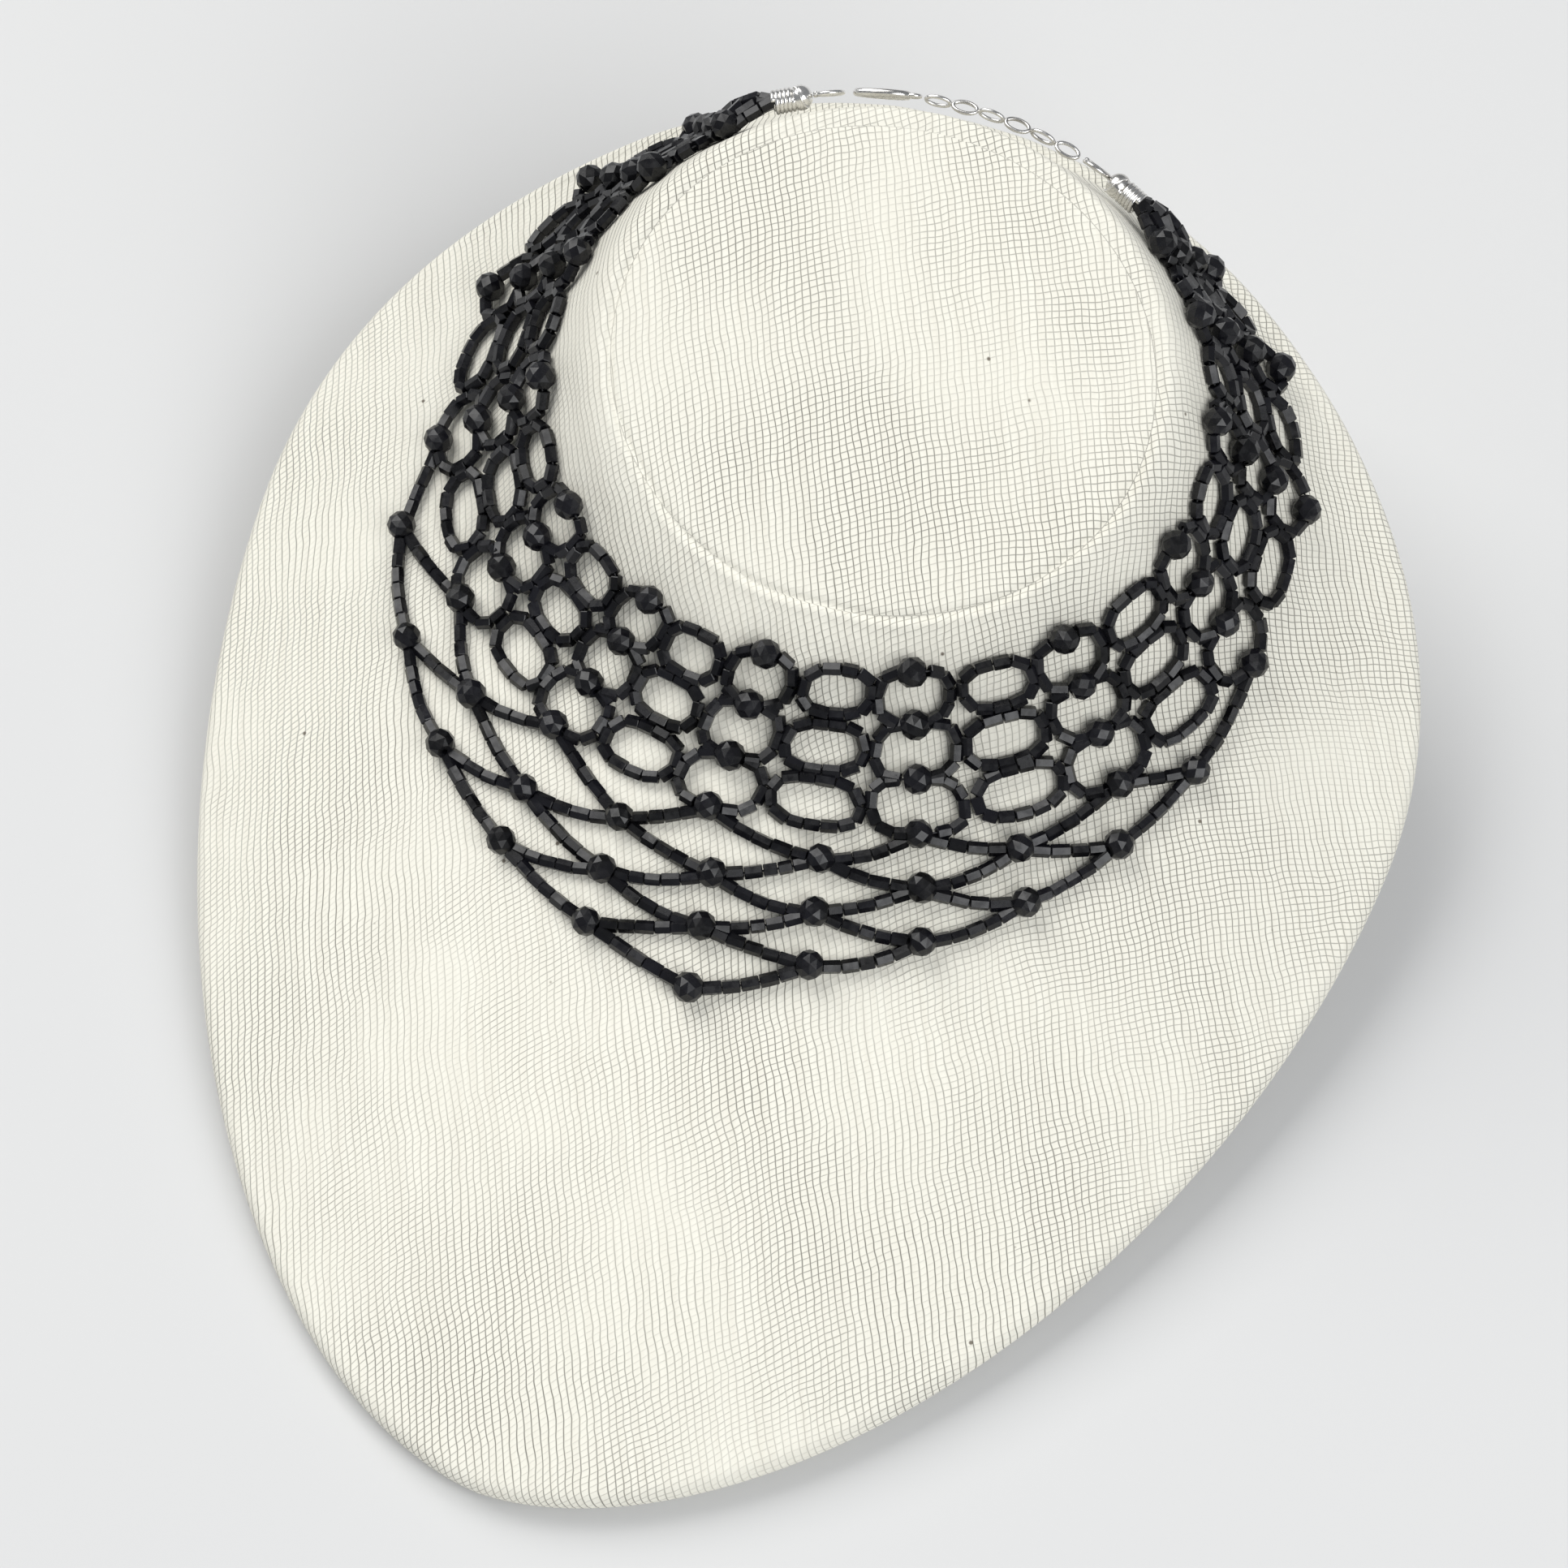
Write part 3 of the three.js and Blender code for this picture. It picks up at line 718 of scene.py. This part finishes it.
def stringBeads(heap, points, normals, startSkip, endSkip, closed=False):  # tube beads along a route
    steps = np.linalg.norm(np.diff(points, axis=0), axis=1)
    run = np.concatenate([[0], np.cumsum(steps)])
    usable = run[-1] - startSkip - endSkip
    if usable < 1.2:
        return
    count = max(1, round(usable / (tube["length"] + tube["gap"])))
    weights = np.array([rng.uniform(0.86, 1.14) for _ in range(count)])
    cuts = startSkip + usable * np.concatenate([[0], np.cumsum(weights)]) / weights.sum()

    def at(distance):
        return np.array([np.interp(distance, run, points[:, k]) for k in range(3)])

    def normalAt(distance):
        return np.array([np.interp(distance, run, normals[:, k]) for k in range(3)])

    for start, end in zip(cuts, cuts[1:]):
        a, b = at(start), at(end)
        middle = (a + b) / 2 * 0.5 + at((start + end) / 2) * 0.5
        length = np.linalg.norm(b - a) - tube["gap"] * rng.uniform(0.3, 1.3)
        wobble = np.array([rng.uniform(-0.05, 0.05) for _ in range(3)]) * np.linalg.norm(b - a)
        heap.add(middle, b - a + wobble, normalAt((start + end) / 2), length, rng.uniform(0.95, 1.04),
                 rng.uniform(0, math.pi / 3))
    threads.append(points)


def partFor(column):
    return "front" if abs(column) <= 3.5 else ("left" if column < 0 else "right")


tubeHeaps = {part: BeadHeap(tubeTemplate()) for part in ("front", "left", "right", "bib")}
roundHeaps = {part: BeadHeap(roundTemplate()) for part in ("front", "left", "right", "bib")}


def netScale(column, tier):  # mm in one column and in one tier, here
    here = onLinen(*netPlace(column, tier), net["stringLift"])[0]
    aside = onLinen(*netPlace(column + 0.1, tier), net["stringLift"])[0]
    below = onLinen(*netPlace(column, tier + 0.1), net["stringLift"])[0]
    return np.linalg.norm(aside - here) * 10, np.linalg.norm(below - here) * 10


def ringCell(column, tier):  # one rounded loop of the net between two tiers
    hasBeads = abs(column - round(column)) < 0.01 and abs(column) <= 6
    middle = tier + 0.5
    columnSize, tierSize = netScale(column, middle)
    halfColumn = max(0.25 - net["side"] / columnSize, 0.1)
    halfTier = 0.5 if hasBeads else 0.5 - net["side"] / tierSize
    square = net["square"] + rng.uniform(-0.3, 0.25)
    lean = rng.uniform(-0.05, 0.05)
    shift = (0 if hasBeads else rng.uniform(-0.02, 0.02), rng.uniform(-0.03, 0.03) if not hasBeads else 0)
    steps = 72
    places, lifts, toBead = [], [], []
    for step in range(steps + 1):
        swing = 2 * math.pi * step / steps - math.pi / 2
        c, s = math.cos(swing), math.sin(swing)
        x = math.copysign(abs(c) ** (2 / square), c) * halfColumn
        y = math.copysign(abs(s) ** (2 / square), s) * halfTier
        places.append(netPlace(column + x + lean * y + shift[0], middle + y + shift[1]))
        nearBead = max(0.0, 1 - min(step, abs(step - steps / 2), steps - step) / (steps * 0.11)) if hasBeads else 0
        crossing = abs(c) ** 6 * 0.25
        lifts.append(net["stringLift"] + (net["beadLift"] - net["stringLift"]) * nearBead + crossing * rng.uniform(0, 1))
    points, normals = smoothRoute(places, lifts)
    heap = tubeHeaps[partFor(column)]
    skip = round_["radius"] * 0.86 if hasBeads else 0.0
    half = steps // 2
    if hasBeads:
        stringBeads(heap, points[: half + 1], normals[: half + 1], skip, skip)
        stringBeads(heap, points[half:], normals[half:], skip, skip)
    else:
        stringBeads(heap, points, normals, 0, 0)


def roundBead(part, angle, distance, along):
    size = rng.uniform(0.96, 1.03)
    (centre,), (normal,) = onLinen([angle], [distance], [net["beadLift"]])
    (aside,), _ = onLinen([angle + along[0]], [distance + along[1]], [net["beadLift"]])
    wobble = np.array([rng.uniform(-0.25, 0.25) for _ in range(3)])
    direction = (aside - centre) / np.linalg.norm(aside - centre) + wobble
    roundHeaps[part].add(centre, direction, normal, 0, size, rng.uniform(0, math.pi))


def buildNet():
    for tier in range(1, net["tiers"]):
        for halfColumn in range(-12, 13):
            ringCell(halfColumn / 2, tier)
    for tier in range(1, net["tiers"] + 1):
        for column in range(-6, 7):
            roundBead(partFor(column), *netPlace(column, tier), (1, 0))


def bibRoute(start, end, bow):
    steps = 24
    places, lifts = [], []
    for step in range(steps + 1):
        t = step / steps
        nearBead = max(0.0, 1 - min(step, steps - step) / 3.5)
        places.append((start[0] + (end[0] - start[0]) * t, start[1] + (end[1] - start[1]) * t + bow * 4 * t * (1 - t)))
        lifts.append(net["stringLift"] + (net["beadLift"] - net["stringLift"]) * nearBead)
    return smoothRoute(places, lifts)


def buildBib():
    skip = round_["radius"] * 0.86
    for tier in range(bib["firstTier"], bib["lastTier"] + 1):
        beads = bib["lastTier"] - tier + 1
        for index in range(beads):
            column = index - (beads - 1) / 2
            place = bibPlace(column, tier)
            roundBead("bib", *place, (1, 0))
            for above in (column - 0.5, column + 0.5):
                start = columnPlace(above, 1) if tier == bib["firstTier"] else bibPlace(above, tier - 1)
                points, normals = bibRoute(start, place, rng.uniform(*bib["bow"]))
                stringBeads(tubeHeaps["bib"], points, normals, skip, skip)


def buildEnds():  # the strings that bunch together between the last loops and the silver ends
    for side, lastAngle in ((-1, -139.5), (1, 144.5)):
        for strand in range(7):
            tier = 1 + strand * 0.5
            startAngle, startDistance = netPlace(side * 6.05, tier)
            steps = 20
            places, lifts = [], []
            for step in range(steps + 1):
                t = step / steps
                places.append((startAngle + (lastAngle - startAngle) * t,
                               startDistance + (9.0 + 0.35 * tier - startDistance) * t**0.8))
                lifts.append(net["stringLift"] + 2.2 * t + (strand % 3) * 1.2 * math.sin(math.pi * t))
            points, normals = smoothRoute(places, lifts)
            stringBeads(tubeHeaps[partFor(side * 7)], points, normals, 0.2, 0.0)


def tubeAlong(route, radius, sides, closed=False):  # a round wire through points
    route = np.asarray(route, float)
    if closed:
        ahead = np.roll(route, -1, axis=0) - np.roll(route, 1, axis=0)
    else:
        ahead = np.gradient(route, axis=0)
    points = []
    side = np.cross(ahead[0], (0.31, 0.52, 0.79))
    for here, along in zip(route, ahead):
        along = along / np.linalg.norm(along)
        side = side - along * np.dot(side, along)
        side /= np.linalg.norm(side)
        up = np.cross(along, side)
        for k in range(sides):
            swing = 2 * math.pi * k / sides
            points.append(here + radius * (math.cos(swing) * side + math.sin(swing) * up))
    faces = gridFaces(len(route), sides, True)
    last = (len(route) - 1) * sides
    if closed:
        faces += [(last + k, last + (k + 1) % sides, (k + 1) % sides, k) for k in range(sides)]
    else:
        faces += [tuple(reversed(range(sides))), tuple(last + k for k in range(sides))]
    return np.array(points), faces


def joinParts(name, parts, smooth=True):
    points, faces, base = [], [], 0
    for partPoints, partFaces in parts:
        points.append(partPoints)
        faces += [tuple(base + k for k in face) for face in partFaces]
        base += len(partPoints)
    return makeMesh(name, np.concatenate(points), faces, smooth)


def threadPiece():
    return joinParts("netThread", [tubeAlong(route, 0.17, 5) for route in threads])


# ---- silver closure behind the neck ----

closure = {
    "distance": 10.0,  # down the linen from the rim
    "lift": 3.2,
    "endCaps": {"left": -142.5, "right": 147.0},
    "rings": {"left": -149.5, "right": 154.0},
    "clasp": -160.5,
    "chain": (158.0, 191.8),
    "wire": 0.42,
    "coilRadius": 1.8,
    "coilTurns": 5,
    "beadRadius": 2.25,
    "ringRadius": 2.4,
    "ringWire": 0.45,
    "linkLength": 4.3,
    "linkWidth": 2.3,
    "linkWire": 0.36,
}


def closureFrame(angle, spin=0.0):  # along the neck, across, away from the linen
    (here, ahead), (normal, _) = onLinen([angle, angle + 0.5], closure["distance"], closure["lift"])
    along = (ahead - here) / np.linalg.norm(ahead - here)
    across = np.cross(normal, along)
    across /= np.linalg.norm(across)
    outward = np.cross(along, across)
    turned = across * math.cos(spin) + outward * math.sin(spin)
    return here, np.stack([along, turned, np.cross(along, turned)])


def placed(local, frameHere):
    here, axes = frameHere
    return np.asarray(local) @ axes + here


def latheParts(profile, frameHere, sides=24):  # rings of (place along, radius) round the first axis
    local = [(x, radius * math.cos(2 * math.pi * k / sides), radius * math.sin(2 * math.pi * k / sides))
             for x, radius in profile for k in range(sides)]
    last = (len(profile) - 1) * sides
    faces = gridFaces(len(profile), sides, True)
    faces += [tuple(reversed(range(sides))), tuple(last + k for k in range(sides))]
    return placed(local, frameHere), faces


def ovalLoop(length, width, steps=28, lift=0.0):
    return [(length / 2 * math.cos(2 * math.pi * k / steps), width / 2 * math.sin(2 * math.pi * k / steps), lift)
            for k in range(steps)]


def silverEnd(side):  # wire wound round the gathered strings, then a round silver bead on a core, with a thin wire laid over it
    frameHere = closureFrame(closure["endCaps"][side])
    back = -1 if side == "left" else 1
    steps = 16
    coil = []
    for step in range(closure["coilTurns"] * steps + 1):
        turn = step / steps
        swing = 2 * math.pi * turn
        coil.append((back * (-3.3 + 0.72 * turn), closure["coilRadius"] * math.cos(swing),
                     closure["coilRadius"] * math.sin(swing)))
    bead = []
    for step in range(13):
        swing = math.pi * (0.08 + 0.84 * step / 12)
        bead.append((1.55 - closure["beadRadius"] * 0.92 * math.cos(swing), closure["beadRadius"] * math.sin(swing)))
    if back < 0:
        bead = [(-x, radius) for x, radius in reversed(bead)]
    core = [(-3.4, 1.5), (-3.2, 1.62), (0.2, 1.62), (0.4, 1.1)] if back > 0 else [
        (-0.4, 1.1), (-0.2, 1.62), (3.2, 1.62), (3.4, 1.5)]
    wrap = [(back * (0.1 + 3.0 * k / 40), (closure["beadRadius"] + 0.12) * math.cos(0.9 * math.sin(k / 40 * math.pi * 2)),
             (closure["beadRadius"] + 0.12) * math.sin(0.9 * math.sin(k / 40 * math.pi * 2))) for k in range(8, 33)]
    parts = [
        tubeAlong(placed(coil, frameHere), closure["wire"], 8),
        latheParts(bead, frameHere),
        latheParts(core, frameHere),
        tubeAlong(placed(wrap, frameHere), 0.25, 6),
    ]
    finishPiece(joinParts("silverEnd_" + side, parts), silverPlate, "silver", "end_cap_" + side)


def jumpRing(side):
    frameHere = closureFrame(closure["rings"][side])
    loop = [(closure["ringRadius"] * math.cos(swing), closure["ringRadius"] * math.sin(swing), 0.05 * swing)
            for swing in np.linspace(0.06, 2 * math.pi - 0.06, 40)]
    piece = joinParts("jumpRing_" + side + "_wire", [tubeAlong(placed(loop, frameHere), closure["ringWire"], 10)])
    finishPiece(piece, silverPlate, "silver", "jump_ring_" + side)


def closureChain():
    first, last = closure["chain"]
    ends, _ = onLinen([first, last], closure["distance"], closure["lift"])
    count = round(np.linalg.norm(ends[1] - ends[0]) * 1.02 / (closure["linkLength"] - 2.6 * closure["linkWire"]))
    parts = []
    for link in range(count):
        angle = first + (last - first) * (link + 0.5) / count
        frameHere = closureFrame(angle if angle <= 180 else angle - 360, math.radians(30 if link % 2 else 120))
        loop = ovalLoop(closure["linkLength"], closure["linkWidth"])
        parts.append(tubeAlong(placed(loop, frameHere), closure["linkWire"], 8, True))
    finishPiece(joinParts("chainLinks", parts), silverPlate, "silver", "closure_chain")


def lobsterClasp():
    frameHere = closureFrame(closure["clasp"])
    hook = [(x + 0.6, y * (1 - 0.05 * x), z) for x, y, z in ovalLoop(9.0, 3.7)]
    eye = [(x * 1.0 - 4.9, y, z) for x, y, z in ovalLoop(2.2, 2.2, 20)]
    gate = [(-2.6, -1.55, 0.25), (-1.0, -1.75, 0.3), (1.0, -1.8, 0.3), (3.0, -1.5, 0.2)]
    lever = [(-2.2, -1.5, 0.3), (-2.6, -2.05, 0.4)]
    parts = [
        tubeAlong(placed(hook, frameHere), 0.72, 12, True),
        tubeAlong(placed(eye, frameHere), 0.4, 8, True),
        tubeAlong(placed(gate, frameHere), 0.5, 8),
        tubeAlong(placed(lever, frameHere), 0.35, 8),
    ]
    finishPiece(joinParts("lobsterClasp", parts), silverPlate, "silver", "clasp")


buildNet()
buildBib()
buildEnds()
netNodes = {"front": "net_front", "left": "net_left_wing", "right": "net_right_wing", "bib": "bib_front"}
for part, node in netNodes.items():
    tubesPiece = makeMesh("tubeBeads_" + part, *tubeHeaps[part].mesh(), smooth=False)
    finishPiece(tubesPiece, blackGlass, "black_glass", node)
    roundsPiece = makeMesh("facetedBeads_" + part, *roundHeaps[part].mesh(), smooth=False)
    finishPiece(roundsPiece, blackGlass, "black_glass", node)
    print("beads", part, len(tubeHeaps[part].placed), len(roundHeaps[part].placed))
finishPiece(threadPiece(), beadingThread, "black_glass")
for side in ("left", "right"):
    silverEnd(side)
    jumpRing(side)
closureChain()
lobsterClasp()
print("net and closure strung")

# ---- floor, light and camera ----

stage = {
    "floor": (0.66, 0.66, 0.66),
    "size": 14.0,
    "glow": 0.27,
    "backdrop": (0.80, 0.80, 0.80),
    "azimuth": 21.0,
    "elevation": 63.0,
    "distance": 700.0,
    "target": (7.8, -1.45, 46.4),
    "lens": 95.2,
}


def makeFloor():
    half = stage["size"] / 2
    mesh = bpy.data.meshes.new("floor")
    mesh.from_pydata([(-half, -half, 0), (half, -half, 0), (half, half, 0), (-half, half, 0)], [], [(0, 1, 2, 3)])
    floor = bpy.data.objects.new("floor", mesh)
    bpy.context.scene.collection.objects.link(floor)
    material, tree, shader = newMaterial("paleFloor")
    place = tree.nodes.new("ShaderNodeTexCoord")
    clouds = noiseNode(tree, place.outputs["Object"], 4.0, 2.0)
    wire(tree, mixColor(tree, rangeNode(tree, clouds.outputs["Fac"], 0.3, 0.7), stage["floor"], (0.675, 0.675, 0.67)),
         shader.inputs["Base Color"])
    shader.inputs["Roughness"].default_value = 0.9
    mesh.materials.append(material)


def areaLight(name, place, aim, size, power, colour=(1, 1, 1)):
    data = bpy.data.lights.new(name, "AREA")
    data.shape = "RECTANGLE"
    data.size, data.size_y = size
    data.energy = power
    data.color = colour
    light = bpy.data.objects.new(name, data)
    light.location = place
    light.rotation_euler = (Vector(aim) - Vector(place)).to_track_quat("-Z", "Y").to_euler()
    bpy.context.scene.collection.objects.link(light)


def makeCamera():
    azimuth, elevation = math.radians(stage["azimuth"]), math.radians(stage["elevation"])
    back = Vector((math.sin(azimuth) * math.cos(elevation), -math.cos(azimuth) * math.cos(elevation),
                   math.sin(elevation)))
    target = Vector(stage["target"]) * mm
    data = bpy.data.cameras.new("camera")
    data.lens = stage["lens"]
    data.clip_start = 0.01
    camera = bpy.data.objects.new("camera", data)
    camera.location = target + back * stage["distance"] * mm
    camera.rotation_euler = back.to_track_quat("Z", "Y").to_euler()
    bpy.context.scene.collection.objects.link(camera)
    bpy.context.scene.camera = camera


def makeWorld():  # dim all round for soft reflections, pale where it is seen past the floor
    world = bpy.data.worlds.new("studio")
    world.use_nodes = True
    tree = world.node_tree
    glow = tree.nodes["Background"]
    glow.inputs["Color"].default_value = (0.92, 0.95, 1.0, 1)
    glow.inputs["Strength"].default_value = stage["glow"]
    backdrop = tree.nodes.new("ShaderNodeBackground")
    backdrop.inputs["Color"].default_value = (*stage["backdrop"], 1)
    path = tree.nodes.new("ShaderNodeLightPath")
    mix = tree.nodes.new("ShaderNodeMixShader")
    wire(tree, path.outputs["Is Camera Ray"], mix.inputs[0])
    wire(tree, glow.outputs[0], mix.inputs[1])
    wire(tree, backdrop.outputs[0], mix.inputs[2])
    wire(tree, mix.outputs[0], tree.nodes["World Output"].inputs["Surface"])
    bpy.context.scene.world = world


makeFloor()
makeWorld()
makeCamera()
areaLight("keySoftbox", (-1.5, 0.75, 1.9), (0, 0, 0.05), (2.0, 2.0), 54.0, (1.0, 0.995, 0.98))
areaLight("fillSoftbox", (1.5, -0.9, 1.7), (0, 0, 0.05), (1.8, 1.8), 42.0, (0.98, 0.99, 1.0))
bpy.context.scene.view_settings.view_transform = "Standard"

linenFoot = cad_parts["display_foot"]
linenFoot.data.materials.clear()
footLinen, footTree, footShader = newMaterial("footBoard")
footPlace = footTree.nodes.new("ShaderNodeTexCoord")
footGrain = noiseNode(footTree, footPlace.outputs["Object"], 260.0, 4.0)
wire(footTree, mixColor(footTree, footGrain.outputs["Fac"], linen["light"], linen["warm"]),
     footShader.inputs["Base Color"])
wire(footTree, rangeNode(footTree, footGrain.outputs["Fac"], 0.3, 0.7, 0.8, 0.95), footShader.inputs["Roughness"])
linenFoot.data.materials.append(footLinen)
